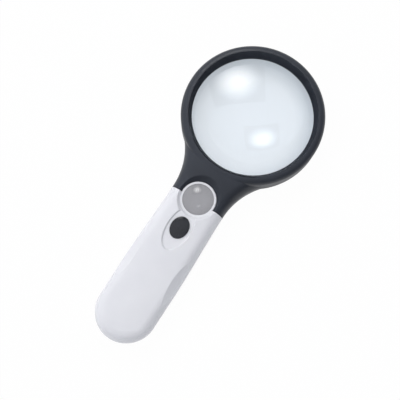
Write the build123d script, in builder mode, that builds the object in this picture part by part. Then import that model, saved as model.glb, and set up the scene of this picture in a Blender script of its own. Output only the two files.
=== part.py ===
from build123d import *
from math import cos, radians, sin, sqrt
import os

# Hand-held low vision magnifier: lit ring lens, small strong lens in the handle, battery handle.
#
# Millimetres. The magnifier lies on its back with its face up: +Z up, +Y from the handle towards
# the ring, and the origin under the middle of the whole object, on the surface that it lies on.

# ---------------------------------------------------------------- driving dimensions
wall = 1.8                  # of every shell
slack = 0.05                # between pieces that are clamped together
seam_gap = 0.3              # between head and handle
split_z = 10.0              # where front and back shells meet

# Main lens and its ring
lens_radius = 37.5
lens_curve_radius = 122.5
lens_edge = 2.0
lens_lip = 1.5              # how far the seat covers the lens
lens_play = 0.1             # round the edge of the lens
lip_height = 0.6
lip_foot = 0.25             # upright stretch where the ring's inside meets its rims
crest_depth = 0.89          # middle of the lens below the front rim
ring_margin = 5.0           # ring beyond the lens
rim_recess = 0.55           # ring's inside beyond the lens
rim_round_radius = 4.1      # round front and back corners of the ring
rim_rise = 2.0              # ring above the crest of the handle
ring_wall = 2.85            # between the ring's inside and the hollow in the neck

# Outline and section of neck and handle
flare_radius = 42.2         # hollow curve from the ring into the neck
flare_bite = 0.4            # how far that curve runs into the ring
butt_taper = 0.2            # round end narrower than the widest place
crown_radius = 100.0        # crosswise crown of the front
shoulder_radius = 7.0       # front edge
back_edge_radius = 4.5      # back edge
edge_to_seam = 18.4         # from the edge of the ring, along the handle
edge_to_widest = 67.5

# Strong lens in the handle
edge_to_loupe = 17.3
loupe_lens_radius = 9.8
loupe_curve_radius = 20.0
loupe_lens_edge = 1.5
loupe_cover = 0.6           # how far the rim covers the lens, and how far it reaches beyond it
loupe_lip = 0.7
loupe_depth = 2.3           # rim below the crest of the handle
collar_step = 1.0           # thicker part of the collar, under the head's lip
collar_step_drop = 1.5
notch_gap = 0.3             # head notch around the collar
notch_wall = 1.1
tube_wall = 0.85
tube_foot_z = 1.2

# Push button, its dish and its switch
edge_to_button = 36.9
button_half = (5.2, 6.6)
button_gap = 0.2
button_proud = 0.3          # above the crest of the handle
button_dome_radius = 26.0
button_skin = 1.0
button_flange = 0.9         # how far the flange reaches under the shell
button_flange_thick = 0.8
button_flange_gap = 0.2     # under the shell
button_travel = 1.2
dish_half = (7.6, 14.4)
dish_back = 0.6             # middle of the dish beyond the middle of the button
dish_depth = 1.1
dish_slope_in = 1.0         # floor of the dish inside its outline
dish_slope_out = 1.4        # mouth of the dish outside it, at the top of the cut
dish_cut = 2.4
dish_pad = 1.2              # thick shell around the dish
press_gap = 0.4             # left under the button when it is pressed
switch_size = (8.0, 8.0, 4.1)
switch_corner = 0.5
switch_floor = 0.5
plunger_radius = 1.5
plunger_gap = 0.08
plunger_rise = 0.7          # above the foot of the button's flange
plunger_seat = 1.3          # plunger's foot below the top of the switch
plunger_chamfer = 0.2
spring_wire_radius = 0.16
spring_coil_radius = 1.0
spring_turns = 4

# Circuit board
board_size = (17.0, 15.0, 1.6)
board_back = 0.5            # middle of the board beyond the middle of the button
board_corner = 1.0
board_post_places = (6.0, 4.0)
board_post_radius = 1.5
resistor_radius = 0.8
resistor_length = 4.0
resistor_lead_radius = 0.25
resistor_lead_span = 6.0
resistor_height = 1.1
resistor_inset = 1.8

# Finger hollows on the sides of the handle
edge_to_hollow = 65.0
hollow_radius = 26.0        # crosswise
hollow_length_radius = 90.0 # lengthwise
hollow_half_length = 20.0
hollow_out = 14.4           # middle of that curve beyond the widest place
hollow_up = 16.0            # and above the crest

# Lights in the neck
led_radius = 2.5
led_flange_radius = 2.9
led_flange_thick = 1.0
led_tip_gap = 0.2           # tip above the inside of the back shell
led_play = 0.15
led_flare = 1.0             # window wider at its mouth
led_flare_depth = 0.8
led_spread = 15.0           # degrees between neighbours, about the middle of the ring
led_out = 1.5               # beyond the edge of the ring
led_board_margin = (0.3, 5.9)
led_board_half_angle = 21.0
led_board_gap = 0.4         # above the split
led_board_thick = 1.2
led_post_radius = 1.2

# Batteries (AAA cells) and their contacts
cell_radius = 5.25
cell_length = 44.5
cell_corner = 0.4
nub_radius = 1.9
nub_length = 0.8
cell_gap = 0.3              # between neighbours
cell_side_gap = 0.35        # beside the outer ones
cell_foot_gap = 0.45        # above the door
cell_headroom = 2.25        # under the front shell, in the middle
spring_gap = 3.2
cell_spring_wire = 0.3
cell_spring_radius = 2.4
cell_spring_turns = 3
contact_thick = 0.3
contact_half_width = 4.0
contact_drop = 2.8          # below the middle of the cells
contact_rise = 3.1          # above it
contact_corner = 0.8
edge_to_bay = 47.1
bay_wall = 1.2
butt_room = 15.0            # between the end of the battery bay and the round end

# Battery door
door_top_z = 3.6
door_gap = 0.25
edge_to_door = 45.7
door_tab = (3.6, 4.4, 1.2)
tab_root = 2.0
tab_lift = 0.1              # tab above the inside of the back shell
root_sink = 0.3             # how deep tab and hooks are rooted in the door
hook_place = 7.5
hook_width = 3.5
hook_thick = 1.2
hook_reach = 2.0
hook_top_z = 7.7
ledge_low_z = 4.7
ledge_high_z = 6.2
ledge_reach = 2.3
ledge_margin = 0.5
hook_gap = 0.8
grip_groove = (14.0, 0.9, 0.5)
groove_count = 5
groove_pitch = 2.2
groove_back = 12.0          # middle groove behind the front of the door

# Screws
screw_radius = 1.2
screw_play = 0.1
thread_play = 0.02
screw_head_radius = 2.3
screw_head_thick = 1.4
screw_head_play = 0.2
screw_head_z = 2.6
screw_reach = 3.5           # into the front shell
pilot_spare = 0.2
screw_round = 0.5
screw_point = 0.4
screw_slot = (2.6, 0.5, 1.4)
boss_radius = 2.6
boss_skirt = 0.8            # boss in the back shell wider, around the screw's head
boss_rib = 2.2              # half width of the rib between that boss and the wall
head_screw_place = (13.0, 6.2)      # out from the middle, back from the edge of the ring
handle_screw_place = (12.6, 41.5)
butt_screw_room = 9.0       # from the round end
lug_gap = 0.3
lug_width = 2.0
lug_thick = 2.0
lug_root = (1.0, 8.0)       # where the lugs leave the handle, beyond the seam
wire_radius = 0.55

# ---------------------------------------------------------------- sizes that follow
ring_radius = lens_radius + ring_margin
rim_inner_radius = lens_radius + rim_recess
lens_clear_radius = lens_radius - lens_lip
cavity_ring_radius = rim_inner_radius + ring_wall
cell_pitch = 2 * cell_radius + cell_gap
cell_z = wall + cell_foot_gap + cell_radius
handle_height = cell_z + cell_radius + cell_headroom + wall
head_height = handle_height + rim_rise
grip_half_width = cell_pitch + cell_radius + cell_side_gap + wall
butt_radius = grip_half_width - butt_taper
loupe_rim_radius = loupe_lens_radius + loupe_cover
loupe_clear_radius = loupe_lens_radius - loupe_cover
collar_radius = loupe_rim_radius + collar_step
notch_radius = loupe_rim_radius + notch_gap
low_notch_radius = collar_radius + notch_gap
lug_inner_x = low_notch_radius + notch_wall + lug_gap
lug_outer_x = lug_inner_x + lug_width
neck_half_width = lug_outer_x + lug_gap + wall
bay_length = cell_length + spring_gap + 2 * contact_thick + 2 * slack
head_length = 2 * ring_radius
handle_length = edge_to_bay + bay_length + butt_room

# ---------------------------------------------------------------- places that follow
ring_y = (head_length + handle_length) / 2 - ring_radius
edge_y = ring_y - ring_radius
butt_y = edge_y - handle_length
butt_centre_y = butt_y + butt_radius
flare_reach = ring_radius - flare_bite + flare_radius
flare_centre_x = neck_half_width + flare_radius
neck_y = ring_y - sqrt(flare_reach ** 2 - flare_centre_x ** 2)
widest_y = edge_y - edge_to_widest
seam_y = edge_y - edge_to_seam
loupe_y = edge_y - edge_to_loupe
button_y = edge_y - edge_to_button
dish_y = button_y - dish_back
board_y = button_y - board_back
hollow_y = edge_y - edge_to_hollow
bay_y = edge_y - edge_to_bay
bay_end_y = bay_y - bay_length
door_y = edge_y - edge_to_door
hook_y = bay_end_y - bay_wall - ledge_reach - hook_gap
butt_screw_y = butt_y + butt_screw_room

lens_sag = lens_curve_radius - sqrt(lens_curve_radius ** 2 - lens_radius ** 2)
seat_sag = lens_curve_radius - sqrt(lens_curve_radius ** 2 - lens_clear_radius ** 2)
lens_crest_z = head_height - crest_depth
lens_mid_z = lens_crest_z - lens_sag - lens_edge / 2
front_seat_z = lens_crest_z - seat_sag
back_seat_z = 2 * lens_mid_z - front_seat_z

loupe_rim_z = handle_height - loupe_depth
loupe_seat_z = loupe_rim_z - loupe_lip
collar_step_z = loupe_rim_z - collar_step_drop
loupe_seat_sag = loupe_curve_radius - sqrt(loupe_curve_radius ** 2 - loupe_clear_radius ** 2)
loupe_sag = loupe_curve_radius - sqrt(loupe_curve_radius ** 2 - loupe_lens_radius ** 2)
loupe_crest_z = loupe_seat_z + loupe_seat_sag - slack
loupe_mid_z = loupe_crest_z - loupe_sag - loupe_lens_edge / 2

button_crest_z = handle_height + button_proud
dish_floor_z = handle_height - dish_depth
dish_pad_z = dish_floor_z - wall
flange_top_z = dish_pad_z - button_flange_gap
flange_low_z = flange_top_z - button_flange_thick
switch_top_z = flange_low_z - button_travel - press_gap
board_top_z = switch_top_z - switch_size[2]
board_z = board_top_z - board_size[2]
switch_floor_z = board_top_z + switch_floor
plunger_top_z = flange_low_z + plunger_rise
plunger_foot_z = switch_top_z - plunger_seat

contact_low_z = cell_z - contact_drop
contact_high_z = cell_z + contact_rise
led_circle_radius = ring_radius + led_out
led_board_radii = [cavity_ring_radius + margin for margin in led_board_margin]
led_board_z = split_z + led_board_gap
led_board_top_z = led_board_z + led_board_thick
butt_head_z = door_top_z + door_gap + slack
screw_tip_z = split_z + screw_reach
lug_low_z = split_z - lug_thick

under = -1.0                # cutters start here, below the back
past_split = 1.0            # cutters run this far past the split
tall = 40.0                 # more than the object is thick
wide = 120.0                # more than the object is wide or long from its middle

upright = (Align.CENTER, Align.CENTER, Align.MIN)
os.makedirs("parts", exist_ok=True)


def save(piece, label):
    """Name a finished piece and write it."""
    piece.part.label = label
    export_step(piece.part, f"parts/{label}.step")


def grip_plan(inset):
    """The outline of neck and handle, moved inwards by inset, as a face at that height."""
    hollow_curve = flare_radius + inset
    start_share = 1 - hollow_curve / flare_reach
    start_x = start_share * flare_centre_x
    start_y = ring_y - start_share * (ring_y - neck_y)
    end_radius = butt_radius - inset
    straight_back = [(0, -1), (0, -1)]
    with BuildSketch(Plane.XY.offset(inset)) as plan:
        with BuildLine():
            top = Line((0, start_y), (start_x, start_y))
            flare = RadiusArc(top @ 1, (neck_half_width - inset, neck_y), -hollow_curve)
            swell = Spline(flare @ 1, (grip_half_width - inset, widest_y), tangents=straight_back)
            taper = Spline(swell @ 1, (end_radius, butt_centre_y), tangents=straight_back)
            RadiusArc(taper @ 1, (0, butt_centre_y - end_radius), end_radius)
            mirror(about=Plane.YZ)
        make_face()
    return plan.sketch


def grip_blank(inset):
    """Neck and handle as one closed block, every surface moved inwards by inset."""
    plan = grip_plan(inset)
    with BuildPart() as blank:
        extrude(plan, amount=handle_height)
        with BuildSketch(Plane.XZ):
            with Locations((0, handle_height - inset - crown_radius)):
                Circle(crown_radius)
        extrude(amount=2 * wide, both=True, mode=Mode.INTERSECT)
        top_edges = blank.faces().sort_by(Axis.Z)[-1].edges()
        fillet(top_edges, radius=shoulder_radius - inset)
        back_edges = blank.faces().sort_by(Axis.Z)[0].edges()
        fillet(back_edges, radius=back_edge_radius - inset)
    return blank.part


def slab(low, high):
    """A box between two opposite corners."""
    size = [b - a for a, b in zip(low, high)]
    with BuildPart(Plane(origin=low)) as block:
        Box(*size, align=Align.MIN)
    return block.part


def post(x, y, radius, low_z, high_z):
    """A round upright bar."""
    with BuildPart(Plane(origin=(x, y, low_z))) as bar:
        Cylinder(radius, high_z - low_z, align=upright)
    return bar.part


def oval_post(y, half, grow, low_z, high_z):
    """An upright bar of oval section, grown all round."""
    with BuildPart() as bar:
        with BuildSketch(Plane(origin=(0, y, low_z))):
            Ellipse(half[0] + grow, half[1] + grow)
        extrude(amount=high_z - low_z)
    return bar.part


def both_sides(place):
    """The same place to the right and to the left of the middle."""
    x, back = place
    return [(x, edge_y - back), (-x, edge_y - back)]


def turned(axis_y, outline):
    """A solid turned about an upright axis from a list of (radius, height) points."""
    plane = Plane(origin=(0, axis_y, 0), x_dir=(1, 0, 0), z_dir=(0, -1, 0))
    with BuildPart() as solid:
        with BuildSketch(plane):
            with BuildLine():
                Polyline(*outline, close=True)
            make_face()
        revolve(axis=Axis((0, axis_y, 0), (0, 0, 1)))
    return solid.part


def biconvex(axis_y, radius, curve_radius, mid_z, edge):
    """A lens with the same curve on both faces."""
    sag = curve_radius - sqrt(curve_radius ** 2 - radius ** 2)
    crest = mid_z + edge / 2 + sag
    foot = mid_z - edge / 2 - sag
    plane = Plane(origin=(0, axis_y, 0), x_dir=(1, 0, 0), z_dir=(0, -1, 0))
    with BuildPart() as lens:
        with BuildSketch(plane):
            with BuildLine():
                front = RadiusArc((0, crest), (radius, crest - sag), curve_radius)
                side = Line(front @ 1, (radius, foot + sag))
                back = RadiusArc(side @ 1, (0, foot), curve_radius)
                Line(back @ 1, front @ 0)
            make_face()
        revolve(axis=Axis((0, axis_y, 0), (0, 0, 1)))
    return lens


def coil_spring(foot, way, length, turns, radius, wire):
    """A coil spring from foot along way."""
    with BuildPart() as spring:
        with BuildLine():
            coil = Helix(length / turns, length, radius, center=foot, direction=way)
        with BuildSketch(Plane(origin=coil @ 0, z_dir=coil % 0)):
            Circle(wire)
        sweep(path=coil)
    return spring


outer_blank = grip_blank(0)
inner_blank = grip_blank(wall)
above_split = slab((-wide, -wide, split_z), (wide, wide, tall))
below_split = slab((-wide, -wide, -tall), (wide, wide, split_z))
head_side = slab((-wide, seam_y + seam_gap / 2, -tall), (wide, wide, tall))
handle_side = slab((-wide, -wide, -tall), (wide, seam_y - seam_gap / 2, tall))
head_bosses = both_sides(head_screw_place)
handle_bosses = both_sides(handle_screw_place)
butt_boss = (0, butt_screw_y)

# ---------------------------------------------------------------- main lens and the space that holds it
main_lens = biconvex(ring_y, lens_radius, lens_curve_radius, lens_mid_z, lens_edge)
save(main_lens, "main_lens")

pocket_radius = lens_radius + lens_play
edge_drop = lens_sag - seat_sag
lens_space = turned(ring_y, [
    (0, under),
    (rim_inner_radius, under),
    (rim_inner_radius, lip_foot),
    (lens_clear_radius, back_seat_z - lip_height),
    (lens_clear_radius, back_seat_z - slack),
    (pocket_radius, back_seat_z + edge_drop - slack),
    (pocket_radius, front_seat_z - edge_drop + slack),
    (lens_clear_radius, front_seat_z + slack),
    (lens_clear_radius, front_seat_z + lip_height),
    (rim_inner_radius, head_height - lip_foot),
    (rim_inner_radius, tall),
    (0, tall),
])

# ---------------------------------------------------------------- strong lens, its tube and its collar
loupe_lens = biconvex(loupe_y, loupe_lens_radius, loupe_curve_radius, loupe_mid_z, loupe_lens_edge)
save(loupe_lens, "loupe_lens")

tube_radius = loupe_lens_radius + slack
tube_bore = tube_radius - tube_wall
tube_sag = loupe_curve_radius - sqrt(loupe_curve_radius ** 2 - tube_bore ** 2)
tube_top_z = loupe_mid_z - loupe_lens_edge / 2 - (loupe_sag - tube_sag) - slack
with BuildPart(Plane(origin=(0, loupe_y, tube_foot_z + slack))) as loupe_tube:
    Cylinder(tube_radius, tube_top_z - tube_foot_z - slack, align=upright)
    Cylinder(tube_bore, tall, mode=Mode.SUBTRACT)
save(loupe_tube, "loupe_tube")

recess_rise = tall - loupe_rim_z
loupe_space = turned(loupe_y, [
    (0, under),
    (tube_bore, under),
    (tube_bore, tube_foot_z),
    (tube_radius + slack, tube_foot_z),
    (tube_radius + slack, loupe_seat_z - (loupe_sag - loupe_seat_sag)),
    (loupe_clear_radius, loupe_seat_z),
    (loupe_clear_radius, tall),
    (0, tall),
])
collar = turned(loupe_y, [
    (0, 0),
    (collar_radius, 0),
    (collar_radius, collar_step_z),
    (loupe_rim_radius, collar_step_z),
    (loupe_rim_radius, loupe_rim_z),
    (0, loupe_rim_z),
])
recess = turned(loupe_y, [
    (0, loupe_rim_z),
    (loupe_rim_radius, loupe_rim_z),
    (loupe_rim_radius + recess_rise, tall),
    (0, tall),
])
notch_space = turned(loupe_y, [
    (0, under),
    (low_notch_radius, under),
    (low_notch_radius, collar_step_z + notch_gap),
    (notch_radius, collar_step_z + notch_gap),
    (notch_radius, loupe_rim_z),
    (notch_radius + recess_rise, tall),
    (0, tall),
])

# ---------------------------------------------------------------- the two black head shells
led_angles = (-led_spread, 0.0, led_spread)


def on_led_circle(angle):
    """The place on the circle of lights, at an angle from the middle of the neck."""
    turn = radians(angle)
    return led_circle_radius * sin(turn), ring_y - led_circle_radius * cos(turn)


def led_window(x, y):
    """The flared hole in the back of the head that a light shines through."""
    with BuildPart(Plane(origin=(x, y, 0))) as window:
        Cone(led_radius + led_flare, led_radius + led_play, led_flare_depth, align=upright)
    return window.part


with BuildPart() as head_block:
    with BuildSketch():
        with Locations((0, ring_y)):
            Circle(ring_radius)
    extrude(amount=head_height)
    fillet(head_block.edges().filter_by(GeomType.CIRCLE), radius=rim_round_radius)
    add(outer_blank & head_side)
    add(lens_space, mode=Mode.SUBTRACT)
    add(notch_space, mode=Mode.SUBTRACT)

with BuildPart() as head_hollow:
    add(inner_blank & head_side)
    add(post(0, ring_y, cavity_ring_radius, under, tall), mode=Mode.SUBTRACT)
    add(post(0, loupe_y, low_notch_radius + notch_wall, under, tall), mode=Mode.SUBTRACT)

with BuildPart() as head_front_hollow:
    add(head_hollow.part & above_split)
    for x, y in head_bosses:
        add(post(x, y, boss_radius, under, tall), mode=Mode.SUBTRACT)
    for angle in (-led_spread / 2, led_spread / 2):
        x, y = on_led_circle(angle)
        add(post(x, y, led_post_radius, led_board_top_z, tall), mode=Mode.SUBTRACT)

pilot_top_z = screw_tip_z + pilot_spare
with BuildPart() as head_front_shell:
    add(head_block.part & above_split)
    add(head_front_hollow.part, mode=Mode.SUBTRACT)
    for x, y in head_bosses:
        add(post(x, y, screw_radius + thread_play, under, pilot_top_z), mode=Mode.SUBTRACT)
save(head_front_shell, "head_front_shell")

with BuildPart() as head_back_hollow:
    add(head_hollow.part & below_split)
    for x, y in head_bosses:
        add(post(x, y, boss_radius + boss_skirt, under, lug_low_z - slack), mode=Mode.SUBTRACT)

counterbore_z = screw_head_z + screw_head_thick
with BuildPart() as head_back_shell:
    add(head_block.part & below_split)
    add(head_back_hollow.part, mode=Mode.SUBTRACT)
    for x, y in head_bosses:
        add(post(x, y, screw_radius + screw_play, under, split_z), mode=Mode.SUBTRACT)
        add(post(x, y, screw_head_radius + screw_head_play, under, counterbore_z), mode=Mode.SUBTRACT)
    for angle in led_angles:
        x, y = on_led_circle(angle)
        add(post(x, y, led_radius + led_play, under, wall + past_split), mode=Mode.SUBTRACT)
        add(led_window(x, y), mode=Mode.SUBTRACT)
save(head_back_shell, "head_back_shell")

# ---------------------------------------------------------------- dish, finger hollows and button
with BuildPart() as dish:
    with BuildSketch(Plane(origin=(0, dish_y, dish_floor_z))):
        Ellipse(dish_half[0] - dish_slope_in, dish_half[1] - dish_slope_in)
    with BuildSketch(Plane(origin=(0, dish_y, dish_floor_z + dish_cut))):
        Ellipse(dish_half[0] + dish_slope_out, dish_half[1] + dish_slope_out)
    loft(ruled=True)

hollow_origin = (grip_half_width + hollow_out, hollow_y, handle_height + hollow_up)
hollow_plane = Plane(origin=hollow_origin, x_dir=(0, 1, 0), z_dir=(1, 0, 0))
hollow_drop = hollow_length_radius - sqrt(hollow_length_radius ** 2 - hollow_half_length ** 2)
hollow_end_radius = hollow_radius - hollow_drop
with BuildPart() as finger_hollow:
    with BuildSketch(hollow_plane):
        with BuildLine():
            axle = Line((hollow_half_length, 0), (-hollow_half_length, 0))
            end = Line(axle @ 1, (-hollow_half_length, hollow_end_radius))
            swell = ThreePointArc(end @ 1, (0, hollow_radius), (hollow_half_length, hollow_end_radius))
            Line(swell @ 1, axle @ 0)
        make_face()
    revolve(axis=Axis(hollow_origin, (0, 1, 0)))

cap_inside_z = plunger_top_z + button_skin
cap_hollow = oval_post(button_y, button_half, -button_skin, flange_low_z - button_skin, cap_inside_z)
with BuildPart() as button_cap:
    add(oval_post(button_y, button_half, 0, flange_low_z, button_crest_z))
    add(oval_post(button_y, button_half, button_flange, flange_low_z, flange_top_z))
    with Locations((0, button_y, button_crest_z - button_dome_radius)):
        Sphere(button_dome_radius, mode=Mode.INTERSECT)
    add(cap_hollow, mode=Mode.SUBTRACT)
    add(post(0, button_y, plunger_radius, plunger_top_z, cap_inside_z + button_skin / 2))
save(button_cap, "button_cap")

# ---------------------------------------------------------------- switch under the button
switch_half = (switch_size[0] / 2, switch_size[1] / 2)
switch_low = (-switch_half[0], button_y - switch_half[1], board_top_z)
switch_high = (switch_half[0], button_y + switch_half[1], switch_top_z)
with BuildPart() as switch_body:
    add(slab(switch_low, switch_high))
    fillet(switch_body.edges().filter_by(Axis.Z), radius=switch_corner)
    add(post(0, button_y, plunger_radius + plunger_gap, switch_floor_z, tall), mode=Mode.SUBTRACT)
save(switch_body, "switch_body")

with BuildPart() as switch_plunger:
    add(post(0, button_y, plunger_radius, plunger_foot_z, plunger_top_z))
    chamfer(switch_plunger.edges().sort_by(Axis.Z)[-1], length=plunger_chamfer)
save(switch_plunger, "switch_plunger")

spring_foot = (0, button_y, switch_floor_z + spring_wire_radius)
spring_height = plunger_foot_z - switch_floor_z - 2 * spring_wire_radius - slack
switch_spring = coil_spring(
    spring_foot, (0, 0, 1), spring_height, spring_turns, spring_coil_radius, spring_wire_radius)
save(switch_spring, "switch_spring")

# ---------------------------------------------------------------- circuit board
board_half = (board_size[0] / 2, board_size[1] / 2)
board_low = (-board_half[0], board_y - board_half[1], board_z)
board_high = (board_half[0], board_y + board_half[1], board_top_z)
with BuildPart() as circuit_board:
    add(slab(board_low, board_high))
    chamfer(circuit_board.edges().filter_by(Axis.Z), length=board_corner)
save(circuit_board, "circuit_board")

resistor_y = board_y + board_half[1] - resistor_inset
resistor_z = board_top_z + resistor_height
lead_x = resistor_lead_span / 2
along_x = (0, 90, 0)
with BuildPart() as resistor:
    with Locations((0, resistor_y, resistor_z)):
        Cylinder(resistor_radius, resistor_length, rotation=along_x)
        Cylinder(resistor_lead_radius, resistor_lead_span, rotation=along_x)
    for x in (-lead_x, lead_x):
        add(post(x, resistor_y, resistor_lead_radius, board_top_z, resistor_z + resistor_lead_radius))
save(resistor, "resistor")

# ---------------------------------------------------------------- the two white handle shells
with BuildPart() as handle_block:
    add(outer_blank & handle_side)
    add(collar)
    add(recess, mode=Mode.SUBTRACT)
    add(loupe_space, mode=Mode.SUBTRACT)
    add(dish.part, mode=Mode.SUBTRACT)
    add(finger_hollow.part, mode=Mode.SUBTRACT)
    add(mirror(finger_hollow.part, about=Plane.YZ, mode=Mode.PRIVATE), mode=Mode.SUBTRACT)

with BuildPart() as handle_hollow:
    add(inner_blank & handle_side)
    add(post(0, loupe_y, collar_radius, under, tall), mode=Mode.SUBTRACT)

with BuildPart() as handle_front_hollow:
    add(handle_hollow.part & above_split)
    add(oval_post(dish_y, dish_half, dish_pad, dish_pad_z, tall), mode=Mode.SUBTRACT)
    for x, y in handle_bosses + [butt_boss]:
        add(post(x, y, boss_radius, under, tall), mode=Mode.SUBTRACT)

with BuildPart() as handle_front_shell:
    add(handle_block.part & above_split)
    add(handle_front_hollow.part, mode=Mode.SUBTRACT)
    add(oval_post(button_y, button_half, button_gap, under, tall), mode=Mode.SUBTRACT)
    for x, y in handle_bosses + [butt_boss]:
        add(post(x, y, screw_radius + thread_play, under, pilot_top_z), mode=Mode.SUBTRACT)
save(handle_front_shell, "handle_front_shell")


def bossed_to_wall(x, y):
    """A boss around a screw's head with a rib that roots it in the side wall."""
    far_x = wide if x > 0 else -wide
    low = (min(x, far_x), y - boss_rib, under)
    high = (max(x, far_x), y + boss_rib, tall)
    with BuildPart() as boss:
        add(post(x, y, boss_radius + boss_skirt, under, tall))
        add(slab(low, high))
    return boss.part


def bay_partition(low_y):
    """A wall across the handle at one end of the batteries."""
    return slab((-wide, low_y, under), (wide, low_y + bay_wall, tall))


def door_ledge(x):
    """The ledge behind the battery bay that one of the door's hooks catches."""
    reach = hook_width / 2 + ledge_margin
    low = (x - reach, bay_end_y - bay_wall - ledge_reach, ledge_low_z)
    return slab(low, (x + reach, bay_end_y, ledge_high_z))


def head_lug(side):
    """An arm from the handle that the head is screwed to, on one side of the strong lens."""
    bar_end_y = head_bosses[0][1]
    root_x = neck_half_width - wall / 2
    first_y = seam_y - lug_root[1]
    stretches = ((lug_outer_x, bar_end_y), (root_x, seam_y - lug_root[0]))
    with BuildPart() as lug:
        for far_x, last_y in stretches:
            low_x, high_x = sorted((side * lug_inner_x, side * far_x))
            add(slab((low_x, first_y, lug_low_z), (high_x, last_y, split_z - slack)))
        add(post(side * head_screw_place[0], bar_end_y, boss_radius, lug_low_z, split_z - slack))
    return lug.part


butt_low_z = butt_head_z + screw_head_thick
with BuildPart() as handle_back_hollow:
    add(handle_hollow.part & below_split)
    for x in (-board_post_places[0], board_post_places[0]):
        for y in (board_y - board_post_places[1], board_y + board_post_places[1]):
            add(post(x, y, board_post_radius, under, board_z), mode=Mode.SUBTRACT)
    for x, y in handle_bosses:
        add(bossed_to_wall(x, y), mode=Mode.SUBTRACT)
    for low_y in (bay_y, bay_end_y - bay_wall):
        add(bay_partition(low_y), mode=Mode.SUBTRACT)
    for side in (-1, 1):
        add(door_ledge(side * hook_place), mode=Mode.SUBTRACT)
    add(slab((-boss_radius, butt_y, butt_low_z), (boss_radius, butt_screw_y, tall)), mode=Mode.SUBTRACT)
    add(post(0, butt_screw_y, boss_radius, butt_low_z, tall), mode=Mode.SUBTRACT)

with BuildPart() as handle_back_shell:
    add(handle_block.part & below_split)
    add(handle_back_hollow.part, mode=Mode.SUBTRACT)
    add(slab((-wide, -wide, -tall), (wide, door_y + door_gap, door_top_z + door_gap)), mode=Mode.SUBTRACT)
    for side in (-1, 1):
        add(head_lug(side))
    for x, y in head_bosses + handle_bosses + [butt_boss]:
        add(post(x, y, screw_radius + screw_play, under, tall), mode=Mode.SUBTRACT)
    for x, y in handle_bosses:
        add(post(x, y, screw_head_radius + screw_head_play, under, counterbore_z), mode=Mode.SUBTRACT)
save(handle_back_shell, "handle_back_shell")


# ---------------------------------------------------------------- battery door
def door_hook(x):
    """An upright hook at the butt end of the door, pointing towards the ring."""
    low_x, high_x = x - hook_width / 2, x + hook_width / 2
    back_y = hook_y - hook_thick
    with BuildPart() as hook:
        add(slab((low_x, back_y, wall - root_sink), (high_x, hook_y, hook_top_z)))
        add(slab((low_x, back_y, hook_top_z - hook_thick), (high_x, hook_y + hook_reach, hook_top_z)))
    return hook.part


def door_tongue(x):
    """A tongue at the front of the door that lies over the back shell, between two batteries."""
    start_y = door_y - tab_root
    low = (x - tab_width / 2, start_y, wall - root_sink)
    return slab(low, (x + tab_width / 2, start_y + tab_length, tab_under_z + tab_thick))


tab_width, tab_length, tab_thick = door_tab
tab_under_z = wall + tab_lift
groove_length, groove_width, groove_depth = grip_groove
with BuildPart() as battery_door:
    add(outer_blank & slab((-wide, -wide, -tall), (wide, door_y, door_top_z)))
    add(inner_blank, mode=Mode.SUBTRACT)
    for side in (-1, 1):
        add(door_tongue(side * cell_pitch / 2))
        add(door_hook(side * hook_place))
    add(slab((-wide, door_y, under), (wide, door_y + tab_length, tab_under_z)), mode=Mode.SUBTRACT)
    with Locations((0, door_y - groove_back, 0)):
        with GridLocations(0, groove_pitch, 1, groove_count):
            Box(groove_length, groove_width, 2 * groove_depth, mode=Mode.SUBTRACT)
save(battery_door, "battery_door")

# ---------------------------------------------------------------- batteries
cell_names = {"left": -1, "centre": 0, "right": 1}
for name, place in cell_names.items():
    # The outer cells point towards the ring, the middle one towards the butt.
    way = -1 if place == 0 else 1
    x = place * cell_pitch
    tip_y = bay_end_y + contact_thick + slack if place == 0 else bay_y - contact_thick - slack
    axis_plane = Plane(origin=(x, tip_y, cell_z), z_dir=(0, -way, 0))
    with BuildPart(axis_plane) as cell:
        with Locations((0, 0, nub_length)):
            Cylinder(cell_radius, cell_length - nub_length, align=upright)
        fillet(cell.edges().filter_by(GeomType.CIRCLE), radius=cell_corner)
        Cylinder(nub_radius, 2 * nub_length, align=upright)
    save(cell, f"battery_{name}")

    plate_y = bay_y - contact_thick if place == 0 else bay_end_y + contact_thick
    spring_foot = (x, plate_y + way * cell_spring_wire, cell_z)
    spring_length = spring_gap - 2 * cell_spring_wire
    cell_spring = coil_spring(
        spring_foot, (0, way, 0), spring_length, cell_spring_turns, cell_spring_radius, cell_spring_wire)
    save(cell_spring, f"battery_spring_{name}")

# Thin plates at both ends of the battery bay: their reach from side to side, and which end.
plate_reach = cell_pitch + contact_half_width
contacts = {
    "positive_contact": (-plate_reach, -cell_pitch + contact_half_width, bay_y - contact_thick),
    "front_bridge_contact": (-contact_half_width, plate_reach, bay_y - contact_thick),
    "rear_bridge_contact": (-plate_reach, contact_half_width, bay_end_y),
    "negative_contact": (cell_pitch - contact_half_width, plate_reach, bay_end_y),
}
for name, (low_x, high_x, low_y) in contacts.items():
    with BuildPart() as contact:
        add(slab((low_x, low_y, contact_low_z), (high_x, low_y + contact_thick, contact_high_z)))
        fillet(contact.edges().filter_by(Axis.Y), radius=contact_corner)
    save(contact, name)

# ---------------------------------------------------------------- lights in the neck
board_inner, board_outer = led_board_radii
with BuildPart() as led_board:
    with BuildSketch(Plane(origin=(0, ring_y, led_board_z))):
        Circle(board_outer)
        Circle(board_inner, mode=Mode.SUBTRACT)
        with BuildLine():
            tip_x = 2 * board_outer * sin(radians(led_board_half_angle))
            tip_y = -2 * board_outer * cos(radians(led_board_half_angle))
            Polyline((0, 0), (-tip_x, tip_y), (tip_x, tip_y), close=True)
        make_face(mode=Mode.INTERSECT)
    extrude(amount=led_board_thick)
save(led_board, "led_board")

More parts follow.
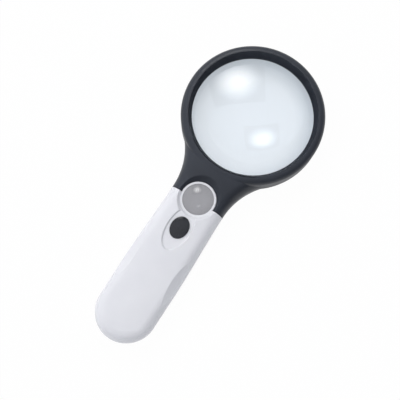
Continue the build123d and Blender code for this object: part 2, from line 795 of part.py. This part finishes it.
led_dome_z = wall + led_tip_gap + led_radius
for name, angle in zip(("left", "centre", "right"), led_angles):
    x, y = on_led_circle(angle)
    with BuildPart() as led:
        add(post(x, y, led_flange_radius, led_board_z - led_flange_thick, led_board_z))
        add(post(x, y, led_radius, led_dome_z, led_board_z))
        with Locations((x, y, led_dome_z)):
            Sphere(led_radius)
    save(led, f"led_{name}")


# ---------------------------------------------------------------- screws
def screw_at(x, y, head_z):
    """A pan-head screw, driven upwards from the back, with a crossed slot in its head."""
    slot_length, slot_width, slot_depth = screw_slot
    with BuildPart(Plane(origin=(x, y, head_z))) as screw:
        Cylinder(screw_head_radius, screw_head_thick, align=upright)
        Cylinder(screw_radius, screw_tip_z - head_z, align=upright)
        chamfer(screw.edges().sort_by(Axis.Z)[-1], length=screw_point)
        fillet(screw.edges().sort_by(Axis.Z)[0], radius=screw_round)
        Box(slot_length, slot_width, slot_depth, mode=Mode.SUBTRACT)
        Box(slot_width, slot_length, slot_depth, mode=Mode.SUBTRACT)
    return screw.part


with BuildPart() as head_screws:
    for x, y in head_bosses:
        add(screw_at(x, y, screw_head_z))
save(head_screws, "head_screws")

with BuildPart() as handle_screws:
    for x, y in handle_bosses:
        add(screw_at(x, y, screw_head_z))
    add(screw_at(0, butt_screw_y, butt_head_z))
save(handle_screws, "handle_screws")


# ---------------------------------------------------------------- wires
def wire(side, points, bend):
    """An insulated wire along straight runs joined by arcs, on one side of the middle."""
    route_points = [(side * x, y, z) for x, y, z in points]
    with BuildPart() as lead:
        with BuildLine():
            route = FilletPolyline(*route_points, radius=bend)
        with BuildSketch(Plane(origin=route @ 0, z_dir=route % 0)):
            Circle(wire_radius)
        sweep(path=route)
    return lead


led_wire_bend = 1.5
battery_wire_bend = 0.8
on_board_z = board_top_z + wire_radius
on_plate_z = contact_high_z + wire_radius
over_cells_z = cell_z + cell_radius - 0.45
on_lights_z = led_board_top_z + wire_radius
over_seam_z = split_z + 1.4
board_front_y = board_y + board_half[1] - 1.0
board_back_y = board_y - board_half[1] + 1.0
lug_x = (lug_inner_x + lug_outer_x) / 2
led_route = [
    (7.0, board_front_y, on_board_z),
    (12.2, seam_y - 7.9, split_z + 0.5),
    (lug_x - 0.2, seam_y + 0.6, over_seam_z),
    (lug_inner_x, seam_y + 6.3, over_seam_z),
    (10.4, seam_y + 9.9, over_seam_z),
    (9.0, seam_y + 14.0, on_lights_z),
    (8.4, seam_y + 16.3, on_lights_z),
]
save(wire(-1, led_route, led_wire_bend), "led_wire_red")
save(wire(1, led_route, led_wire_bend), "led_wire_black")

positive_route = [
    (8.0, bay_y - contact_thick / 2, on_plate_z),
    (8.0, bay_y + bay_wall + 0.4, on_plate_z),
    (6.5, board_back_y, on_board_z),
]
save(wire(-1, positive_route, battery_wire_bend), "battery_wire_red")

between_cells_x = cell_pitch / 2
negative_route = [
    (8.0, bay_end_y + contact_thick / 2, on_plate_z),
    (between_cells_x, bay_end_y + 6.0, over_cells_z),
    (between_cells_x, bay_y - 4.0, over_cells_z),
    (between_cells_x, bay_y + bay_wall + 0.4, on_plate_z),
    (4.5, board_back_y, on_board_z),
]
save(wire(1, negative_route, battery_wire_bend), "battery_wire_black")
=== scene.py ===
import bpy
from math import cos, radians, sin, sqrt
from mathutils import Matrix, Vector


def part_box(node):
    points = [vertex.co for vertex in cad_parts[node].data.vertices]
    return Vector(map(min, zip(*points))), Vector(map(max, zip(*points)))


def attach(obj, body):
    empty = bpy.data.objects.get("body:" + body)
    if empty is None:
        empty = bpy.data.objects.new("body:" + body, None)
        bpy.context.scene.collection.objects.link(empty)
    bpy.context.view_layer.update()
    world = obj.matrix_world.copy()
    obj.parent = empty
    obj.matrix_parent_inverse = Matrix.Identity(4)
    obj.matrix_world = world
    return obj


# Low vision magnifier: finishes, lights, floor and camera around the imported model.
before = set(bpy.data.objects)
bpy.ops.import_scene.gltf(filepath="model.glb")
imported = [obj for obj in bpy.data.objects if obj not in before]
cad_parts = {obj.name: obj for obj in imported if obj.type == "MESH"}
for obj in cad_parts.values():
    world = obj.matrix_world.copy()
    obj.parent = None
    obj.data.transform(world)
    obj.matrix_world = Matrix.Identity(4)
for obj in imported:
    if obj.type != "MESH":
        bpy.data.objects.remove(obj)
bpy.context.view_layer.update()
scene = bpy.context.scene
mm = 0.001

# ---------------------------------------------------------------- places read from the frame
lens_low, lens_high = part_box("main_lens")
ring_centre = (lens_low + lens_high) / 2
loupe_low, loupe_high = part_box("loupe_lens")
loupe_centre = (loupe_low + loupe_high) / 2

# ---------------------------------------------------------------- camera
camera_azimuth = radians(32.58)
camera_elevation = radians(79.85)
camera_distance = 408 * mm
lens_length = 63.5              # in millimetres, as Blender's cameras take it
sensor_width = 36.0
aim_right_of_ring = 0.9 * mm
aim_below_ring = 59.2 * mm
aim_height = 12.5 * mm
camera_aim = Vector((ring_centre.x + aim_right_of_ring, ring_centre.y - aim_below_ring, aim_height))
view_right = Vector((cos(camera_azimuth), sin(camera_azimuth), 0))
view_up = Vector((-sin(camera_azimuth), cos(camera_azimuth), 0))


def view_way(direction):
    """The world direction for one given as right, up and out of the camera's view."""
    right, up, out = direction
    return (view_right * right + view_up * up + Vector((0, 0, out))).normalized()


def make_camera():
    """The camera: nearly straight above, from the butt's right."""
    data = bpy.data.cameras.new("camera")
    data.lens = lens_length
    data.sensor_width = sensor_width
    camera = bpy.data.objects.new("camera", data)
    back = Vector((
        sin(camera_azimuth) * cos(camera_elevation),
        -cos(camera_azimuth) * cos(camera_elevation),
        sin(camera_elevation),
    ))
    camera.location = camera_aim + back * camera_distance
    camera.rotation_euler = (-back).to_track_quat("-Z", "Y").to_euler()
    scene.collection.objects.link(camera)
    scene.camera = camera


# ---------------------------------------------------------------- lights and floor
def flat_square(name, half):
    """A level square about the origin, with half its side given."""
    mesh = bpy.data.meshes.new(name)
    corners = [(-half, -half, 0), (half, -half, 0), (half, half, 0), (-half, half, 0)]
    mesh.from_pydata(corners, [], [(0, 1, 2, 3)])
    square = bpy.data.objects.new(name, mesh)
    scene.collection.objects.link(square)
    return square


def soft_panel(name, direction, distance, half, strength, mirrored):
    """A glowing panel that fades to its edge. Only a mirrored one shows in glossy and clear surfaces."""
    way = view_way(direction)
    panel = flat_square(name, half)
    panel.location = camera_aim + way * distance
    panel.rotation_euler = way.to_track_quat("Z", "Y").to_euler()
    panel.visible_camera = False
    panel.visible_glossy = mirrored
    panel.visible_transmission = mirrored
    glow = bpy.data.materials.new(name)
    glow.use_nodes = True
    tree = glow.node_tree
    tree.nodes.clear()
    place = tree.nodes.new("ShaderNodeTexCoord")
    reach = tree.nodes.new("ShaderNodeVectorMath")
    reach.operation = "LENGTH"
    fade = tree.nodes.new("ShaderNodeMapRange")
    fade.interpolation_type = "SMOOTHSTEP"
    fade.inputs["From Min"].default_value = 0.0
    fade.inputs["From Max"].default_value = half
    fade.inputs["To Min"].default_value = strength
    fade.inputs["To Max"].default_value = 0.0
    light = tree.nodes.new("ShaderNodeEmission")
    light.inputs["Color"].default_value = (1, 1, 1, 1)
    out = tree.nodes.new("ShaderNodeOutputMaterial")
    tree.links.new(place.outputs["Object"], reach.inputs[0])
    tree.links.new(reach.outputs["Value"], fade.inputs["Value"])
    tree.links.new(fade.outputs[0], light.inputs["Strength"])
    tree.links.new(light.outputs[0], out.inputs["Surface"])
    panel.data.materials.append(glow)


def shown_share(tree, by_kind):
    """How much of a ray sees plain white, from the share that each kind of ray gets."""
    path = tree.nodes.new("ShaderNodeLightPath")
    total = None
    for kind, share in by_kind.items():
        part = tree.nodes.new("ShaderNodeMath")
        part.operation = "MULTIPLY"
        part.inputs[1].default_value = share
        tree.links.new(path.outputs[kind], part.inputs[0])
        if total is not None:
            larger = tree.nodes.new("ShaderNodeMath")
            larger.operation = "MAXIMUM"
            tree.links.new(total, larger.inputs[0])
            tree.links.new(part.outputs[0], larger.inputs[1])
            part = larger
        total = part.outputs[0]
    return total


def make_world(strength, brighter_side):
    """Light from all round, strongest from the brighter side. The camera itself sees plain white."""
    dim_share = 0.1
    bright_share = 2.0
    dimmest_at = -0.8           # cosine of the angle from the brighter side
    world = bpy.data.worlds.new("studio")
    world.use_nodes = True
    tree = world.node_tree
    tree.nodes.clear()
    lit = tree.nodes.new("ShaderNodeBackground")
    lit.inputs["Color"].default_value = (0.93, 0.95, 1.0, 1)
    seen = tree.nodes.new("ShaderNodeTexCoord")
    toward = tree.nodes.new("ShaderNodeVectorMath")
    toward.operation = "DOT_PRODUCT"
    toward.inputs[1].default_value = view_way(brighter_side)
    level = tree.nodes.new("ShaderNodeMapRange")
    level.inputs["From Min"].default_value = dimmest_at
    level.inputs["From Max"].default_value = 1.0
    level.inputs["To Min"].default_value = dim_share * strength
    level.inputs["To Max"].default_value = bright_share * strength
    tree.links.new(seen.outputs["Generated"], toward.inputs[0])
    tree.links.new(toward.outputs["Value"], level.inputs["Value"])
    tree.links.new(level.outputs[0], lit.inputs["Strength"])
    shown = tree.nodes.new("ShaderNodeBackground")
    shown.inputs["Color"].default_value = (1, 1, 1, 1)
    shown.inputs["Strength"].default_value = 1.0
    path = tree.nodes.new("ShaderNodeLightPath")
    mix = tree.nodes.new("ShaderNodeMixShader")
    out = tree.nodes.new("ShaderNodeOutputWorld")
    tree.links.new(path.outputs["Is Camera Ray"], mix.inputs[0])
    tree.links.new(lit.outputs[0], mix.inputs[1])
    tree.links.new(shown.outputs[0], mix.inputs[2])
    tree.links.new(mix.outputs[0], out.inputs["Surface"])
    scene.world = world


def make_floor():
    """A white floor. A share of it looks evenly white, and the rest keeps the shadows."""
    white_shares = {"Is Camera Ray": 0.975, "Is Glossy Ray": 0.6, "Is Transmission Ray": 0.52}
    floor = flat_square("floor", half=1.5)
    paint = bpy.data.materials.new("floor")
    paint.use_nodes = True
    tree = paint.node_tree
    tree.nodes.clear()
    matt = tree.nodes.new("ShaderNodeBsdfDiffuse")
    matt.inputs["Color"].default_value = (0.9, 0.9, 0.9, 1)
    white = tree.nodes.new("ShaderNodeEmission")
    white.inputs["Strength"].default_value = 1.0
    share = shown_share(tree, white_shares)
    mix = tree.nodes.new("ShaderNodeMixShader")
    out = tree.nodes.new("ShaderNodeOutputMaterial")
    tree.links.new(share, mix.inputs[0])
    tree.links.new(matt.outputs[0], mix.inputs[1])
    tree.links.new(white.outputs[0], mix.inputs[2])
    tree.links.new(mix.outputs[0], out.inputs["Surface"])
    floor.data.materials.append(paint)


# ---------------------------------------------------------------- the neck's top, blended into the ring
# Sizes of the black head that the frame's boxes don't give, in metres.
rim_width = 4.45 * mm           # ring's outside to its inner edge
rim_round = 4.1 * mm
notch_radius = 10.7 * mm
notch_foot_z = 14.5 * mm
neck_half_width = 17.2 * mm
flare_radius = 42.2 * mm
flare_bite = 0.4 * mm
shoulder = 7.0 * mm
crown_radius = 100.0 * mm
neck_rise_radius = 100.0 * mm
handle_top_z = 16.8 * mm
head_low, head_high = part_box("head_front_shell")
ring_radius = (head_high.x - head_low.x) / 2
seam_y = head_low.y
rim_top_z = head_high.z
rim_inner = ring_radius - rim_width

# The skin itself.
skin_proud = 0.015 * mm         # lifts the skin clear of the head's own surface
skin_thickness = 0.3 * mm
skin_from_seam = 0.02 * mm
skin_end_angle = radians(42)    # round the ring, from the middle of the neck
cap_blend = 0.5 * mm
side_blend = 0.25 * mm
middle_blend = 0.9 * mm         # added to the side's, and gone at middle_reach
middle_reach = 17 * mm


def flare_edge(y):
    """Half the neck's width at y, where hollow curves widen it towards the ring."""
    reach = ring_radius - flare_bite + flare_radius
    centre_x = neck_half_width + flare_radius
    centre_y = ring_centre.y - sqrt(reach ** 2 - centre_x ** 2)
    rise = y - centre_y
    if rise < 0:
        return neck_half_width
    return centre_x - sqrt(flare_radius ** 2 - rise ** 2)


def smooth_max(a, b, blend):
    """The larger of two heights, with the crease between them rounded over blend."""
    share = max(0.0, blend - abs(a - b)) / blend
    return max(a, b) + share * share * blend / 4


def ring_height(radius):
    """The height of the ring's rounded rim at a distance from its middle."""
    out = radius - (ring_radius - rim_round)
    if out <= 0:
        return rim_top_z
    if out >= rim_round:
        return 0.0
    return rim_top_z - rim_round + sqrt(rim_round ** 2 - out ** 2)


def neck_height(x, y):
    """The height of the neck's top, which rises from the seam into the rim of the ring."""
    out = sqrt(x * x + (ring_centre.y - y) ** 2)
    cap_fall = (rim_top_z - handle_top_z) / (ring_centre.y - seam_y - rim_inner)
    rise = (y - seam_y) ** 2 / (2 * neck_rise_radius)
    cap = rim_top_z - handle_top_z - cap_fall * (out - rim_inner)
    risen = handle_top_z - smooth_max(-rise, -cap, cap_blend) - x * x / (2 * crown_radius)
    inside = flare_edge(y) - abs(x)
    if inside < shoulder:
        risen -= shoulder - sqrt(shoulder ** 2 - (shoulder - max(inside, 0.0)) ** 2)
    blend = side_blend + middle_blend * max(0.0, 1 - abs(x) / middle_reach)
    top = min(smooth_max(risen, ring_height(out), blend), rim_top_z)
    from_loupe = sqrt(x * x + (y - loupe_centre.y) ** 2)
    notch_slope = notch_foot_z + from_loupe - notch_radius
    return min(top + skin_proud, notch_slope + skin_proud, rim_top_z)


def neck_inner_edge(y):
    """Where a row across the neck starts: at the notch, at the ring's inside or in the middle."""
    notch = notch_radius ** 2 - (y - loupe_centre.y) ** 2
    opening = rim_inner ** 2 - (ring_centre.y - y) ** 2
    return sqrt(max(notch, opening, 0.0))


def make_neck_top():
    """A smooth skin over the neck, so that it runs into the ring without a step in the middle."""
    rows, columns = 110, 64
    crowding = 1.6              # more than 1 crowds the columns towards the neck's side
    first_y = seam_y + skin_from_seam
    last_y = ring_centre.y - ring_radius * cos(skin_end_angle)
    corners, faces = [], []
    for side in (-1, 1):
        start = len(corners)
        for row in range(rows + 1):
            y = first_y + (last_y - first_y) * row / rows
            inner, outer = neck_inner_edge(y), flare_edge(y)
            for column in range(columns + 1):
                share = 1 - (1 - column / columns) ** crowding
                x = side * (inner + (outer - inner) * share)
                corners.append((x, y, neck_height(x, y)))
        for row in range(rows):
            for column in range(columns):
                a = start + row * (columns + 1) + column
                b, c, d = a + 1, a + columns + 2, a + columns + 1
                faces.append((a, b, c, d) if side > 0 else (a, d, c, b))
    mesh = bpy.data.meshes.new("neck_top")
    mesh.from_pydata(corners, [], faces)
    mesh.polygons.foreach_set("use_smooth", [True] * len(faces))
    mesh.materials.append(finishes["black_shell"])
    skin = bpy.data.objects.new("neck_top", mesh)
    scene.collection.objects.link(skin)
    weld = skin.modifiers.new("weld", "WELD")
    weld.merge_threshold = 0.005 * mm
    thicken = skin.modifiers.new("thicken", "SOLIDIFY")
    thicken.thickness = skin_thickness
    thicken.offset = -1
    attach(skin, "casing")


# ---------------------------------------------------------------- materials
class Paint:
    """A material with one Principled shader and short calls for the nodes around it."""

    def __init__(self, name, **fixed):
        self.material = bpy.data.materials.new(name)
        self.material.use_nodes = True
        self.tree = self.material.node_tree
        self.nodes = self.tree.nodes
        self.shader = self.nodes["Principled BSDF"]
        self.out = self.nodes["Material Output"]
        self.place = self.nodes.new("ShaderNodeTexCoord").outputs["Object"]
        self.height = None
        for socket, value in fixed.items():
            self.shader.inputs[socket.replace("_", " ")].default_value = value

    def link(self, source, target):
        self.tree.links.new(source, target)

    def noise(self, size, detail=3.0, stretch=(1, 1, 1)):
        """Soft noise with features of about this size, in metres."""
        mapping = self.nodes.new("ShaderNodeMapping")
        mapping.inputs["Scale"].default_value = stretch
        self.link(self.place, mapping.inputs["Vector"])
        texture = self.nodes.new("ShaderNodeTexNoise")
        texture.inputs["Scale"].default_value = 1 / size
        texture.inputs["Detail"].default_value = detail
        self.link(mapping.outputs[0], texture.inputs["Vector"])
        return texture.outputs["Fac"]

    def spread(self, value, low, high):
        """The value's middle range stretched between low and high."""
        span = self.nodes.new("ShaderNodeMapRange")
        span.inputs["From Min"].default_value = 0.3
        span.inputs["From Max"].default_value = 0.7
        span.inputs["To Min"].default_value = low
        span.inputs["To Max"].default_value = high
        self.link(value, span.inputs["Value"])
        return span.outputs[0]

    def between(self, value, first, second):
        """A colour between two, by the value's middle range."""
        mix = self.nodes.new("ShaderNodeMix")
        mix.data_type = "RGBA"
        mix.inputs["A"].default_value = (*first, 1)
        mix.inputs["B"].default_value = (*second, 1)
        self.link(self.spread(value, 0, 1), mix.inputs["Factor"])
        return mix.outputs["Result"]

    def colour(self, value, first, second):
        self.link(self.between(value, first, second), self.shader.inputs["Base Color"])

    def roughness(self, value, low, high):
        self.link(self.spread(value, low, high), self.shader.inputs["Roughness"])

    def ramp(self, value, start, end):
        """0 before the start and 1 after the end, with a soft rise between."""
        rise = self.nodes.new("ShaderNodeMapRange")
        rise.interpolation_type = "SMOOTHSTEP"
        rise.inputs["From Min"].default_value = start
        rise.inputs["From Max"].default_value = end
        self.link(value, rise.inputs["Value"])
        return rise.outputs[0]

    def tinted(self, colour, tint, share):
        """The colour multiplied by a tint where the share is 1."""
        mix = self.nodes.new("ShaderNodeMix")
        mix.data_type = "RGBA"
        mix.blend_type = "MULTIPLY"
        mix.inputs["B"].default_value = (*tint, 1)
        self.link(colour, mix.inputs["A"])
        self.link(share, mix.inputs["Factor"])
        return mix.outputs["Result"]

    def away(self, centre):
        """Distance from an upright line through the centre."""
        flat = self.nodes.new("ShaderNodeVectorMath")
        flat.operation = "MULTIPLY_ADD"
        flat.inputs[1].default_value = (1, 1, 0)
        flat.inputs[2].default_value = (-centre.x, -centre.y, 0)
        self.link(self.place, flat.inputs[0])
        reach = self.nodes.new("ShaderNodeVectorMath")
        reach.operation = "LENGTH"
        self.link(flat.outputs["Vector"], reach.inputs[0])
        return reach.outputs["Value"]

    def bump(self, value, depth, strength=1.0):
        """Relief of this depth in metres, on top of any relief given before."""
        relief = self.nodes.new("ShaderNodeBump")
        relief.inputs["Strength"].default_value = strength
        relief.inputs["Distance"].default_value = depth
        self.link(value, relief.inputs["Height"])
        if self.height is not None:
            self.link(self.height, relief.inputs["Normal"])
        self.height = relief.outputs["Normal"]
        self.link(self.height, self.shader.inputs["Normal"])


def black_shell():
    """Satin blue-black moulded plastic with a fine spark-eroded grain."""
    paint = Paint("black_shell", IOR=1.5)
    paint.colour(paint.noise(14 * mm), (0.015, 0.019, 0.028), (0.021, 0.026, 0.038))
    paint.roughness(paint.noise(3 * mm), 0.36, 0.44)
    paint.bump(paint.noise(0.35 * mm, detail=2.0), 0.02 * mm, 0.5)
    paint.bump(paint.noise(9 * mm, detail=1.0), 0.05 * mm, 0.3)
    return paint.material


def white_shell():
    """Glossy white moulded plastic with a faint lavender cast and a slight waviness."""
    paint = Paint("white_shell", IOR=1.5)
    paint.colour(paint.noise(22 * mm), (0.80, 0.80, 0.83), (0.84, 0.84, 0.865))
    paint.roughness(paint.noise(6 * mm), 0.20, 0.27)
    paint.bump(paint.noise(8 * mm, detail=1.0), 0.06 * mm, 0.35)
    paint.bump(paint.noise(0.5 * mm, detail=2.0), 0.008 * mm, 0.3)
    return paint.material


def clear_lens():
    """Clear moulded acrylic with painted shade: the small lens is tinted grey for the shaded tube behind
    it, and the big one is tinted greyer towards its far edge for the ring's shade.
    """
    # Painted shade: the big lens is tinted grey towards its far edge, where the ring's shade falls.
    edge_shade_from, edge_shade_to = 26 * mm, 41 * mm
    edge_shade_offset = 4 * mm        # moves the painted shade's centre away from the far edge
    small_end, big_start = 11 * mm, 12 * mm
    paint = Paint("clear_lens", IOR=1.49, Transmission_Weight=1.0)
    clean = paint.between(paint.noise(30 * mm), (0.900, 0.950, 0.992), (0.910, 0.958, 1.0))
    edge_shade_centre = Vector((ring_centre.x, ring_centre.y - edge_shade_offset, 0))
    # Painted shade: a grey tint that rises towards the big lens's far edge.
    painted_edge_shade = paint.ramp(paint.away(edge_shade_centre), edge_shade_from, edge_shade_to)
    big_lens_shaded = paint.tinted(clean, (0.76, 0.79, 0.82), painted_edge_shade)
    in_big = paint.ramp(paint.away(loupe_centre), small_end, big_start)
    # Painted shade: the small lens is tinted grey for the shaded tube and floor seen through it.
    small_lens_painted_shade = paint.between(paint.noise(9 * mm), (0.48, 0.48, 0.51), (0.52, 0.52, 0.55))
    both = paint.nodes.new("ShaderNodeMix")
    both.data_type = "RGBA"
    paint.link(in_big, both.inputs["Factor"])
    paint.link(small_lens_painted_shade, both.inputs["A"])
    paint.link(big_lens_shaded, both.inputs["B"])
    paint.link(both.outputs["Result"], paint.shader.inputs["Base Color"])
    paint.roughness(paint.noise(12 * mm), 0.0, 0.02)
    paint.bump(paint.noise(15 * mm, detail=0.0), 0.01 * mm, 0.1)
    path = paint.nodes.new("ShaderNodeLightPath")
    clear = paint.nodes.new("ShaderNodeBsdfTransparent")
    clear.inputs["Color"].default_value = (0.9, 0.92, 0.95, 1)
    mix = paint.nodes.new("ShaderNodeMixShader")
    paint.link(path.outputs["Is Shadow Ray"], mix.inputs[0])
    paint.link(paint.shader.outputs[0], mix.inputs[1])
    paint.link(clear.outputs[0], mix.inputs[2])
    paint.link(mix.outputs[0], paint.out.inputs["Surface"])
    return paint.material


def black_tube():
    """Matt black lining of the strong lens."""
    paint = Paint("black_tube", IOR=1.5)
    paint.colour(paint.noise(4 * mm), (0.012, 0.012, 0.014), (0.020, 0.020, 0.023))
    paint.roughness(paint.noise(2 * mm), 0.55, 0.7)
    paint.bump(paint.noise(0.3 * mm), 0.02 * mm, 0.5)
    return paint.material


def black_button():
    """Glossy blue-black moulded plastic."""
    paint = Paint("black_button", IOR=1.5)
    paint.colour(paint.noise(6 * mm), (0.010, 0.011, 0.015), (0.015, 0.017, 0.023))
    paint.roughness(paint.noise(2.5 * mm), 0.14, 0.24)
    paint.bump(paint.noise(3 * mm, detail=1.0), 0.02 * mm, 0.3)
    return paint.material


def plain_plastic(name, first, second, rough):
    """Ordinary moulded plastic of an inner piece."""
    paint = Paint(name, IOR=1.5)
    paint.colour(paint.noise(5 * mm), first, second)
    paint.roughness(paint.noise(2 * mm), rough - 0.05, rough + 0.08)
    paint.bump(paint.noise(0.4 * mm), 0.01 * mm, 0.4)
    return paint.material


def metal(name, first, second, rough, drawn=(1, 1, 1)):
    """Bare metal, with marks drawn out along one way."""
    paint = Paint(name, Metallic=1.0)
    paint.colour(paint.noise(3 * mm), first, second)
    paint.roughness(paint.noise(1.5 * mm, stretch=drawn), rough - 0.06, rough + 0.10)
    paint.bump(paint.noise(0.25 * mm, stretch=drawn), 0.008 * mm, 0.5)
    return paint.material


finishes = {
    "black_shell": black_shell(),
    "white_shell": white_shell(),
    "clear_lens": clear_lens(),
    "black_tube": black_tube(),
    "black_button": black_button(),
    "switch_plastic": plain_plastic("switch_plastic", (0.03, 0.03, 0.032), (0.05, 0.05, 0.053), 0.45),
    "spring_steel": metal("spring_steel", (0.52, 0.52, 0.54), (0.66, 0.66, 0.68), 0.28),
    "board": plain_plastic("board", (0.012, 0.13, 0.045), (0.018, 0.17, 0.06), 0.35),
    "resistor_body": plain_plastic("resistor_body", (0.55, 0.42, 0.25), (0.66, 0.52, 0.32), 0.4),
    "led_epoxy": plain_plastic("led_epoxy", (0.86, 0.87, 0.84), (0.93, 0.94, 0.92), 0.15),
    "cell_jacket": plain_plastic("cell_jacket", (0.08, 0.16, 0.30), (0.11, 0.20, 0.36), 0.3),
    "contact_metal": metal("contact_metal", (0.68, 0.68, 0.67), (0.80, 0.80, 0.79), 0.25, (1, 1, 6)),
    "screw_steel": metal("screw_steel", (0.42, 0.42, 0.44), (0.60, 0.60, 0.62), 0.32),
    "red_insulation": plain_plastic("red_insulation", (0.48, 0.02, 0.02), (0.60, 0.03, 0.03), 0.4),
    "black_insulation": plain_plastic("black_insulation", (0.015, 0.015, 0.015), (0.03, 0.03, 0.03), 0.4),
}
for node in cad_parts.values():
    for place in node.material_slots:
        place.material = finishes[place.material.name.split(".")[0]]

make_neck_top()
make_camera()
from_the_left = (-0.60, 0.35, 0.72)
from_the_top = (-0.055, 0.68, 0.73)
make_world(strength=0.55, brighter_side=from_the_left)
make_floor()
soft_panel("main_panel", from_the_top, distance=0.9, half=0.26, strength=9.5, mirrored=True)
soft_panel("left_panel", from_the_left, distance=1.2, half=0.5, strength=5.0, mirrored=False)

scene.view_settings.view_transform = "Standard"
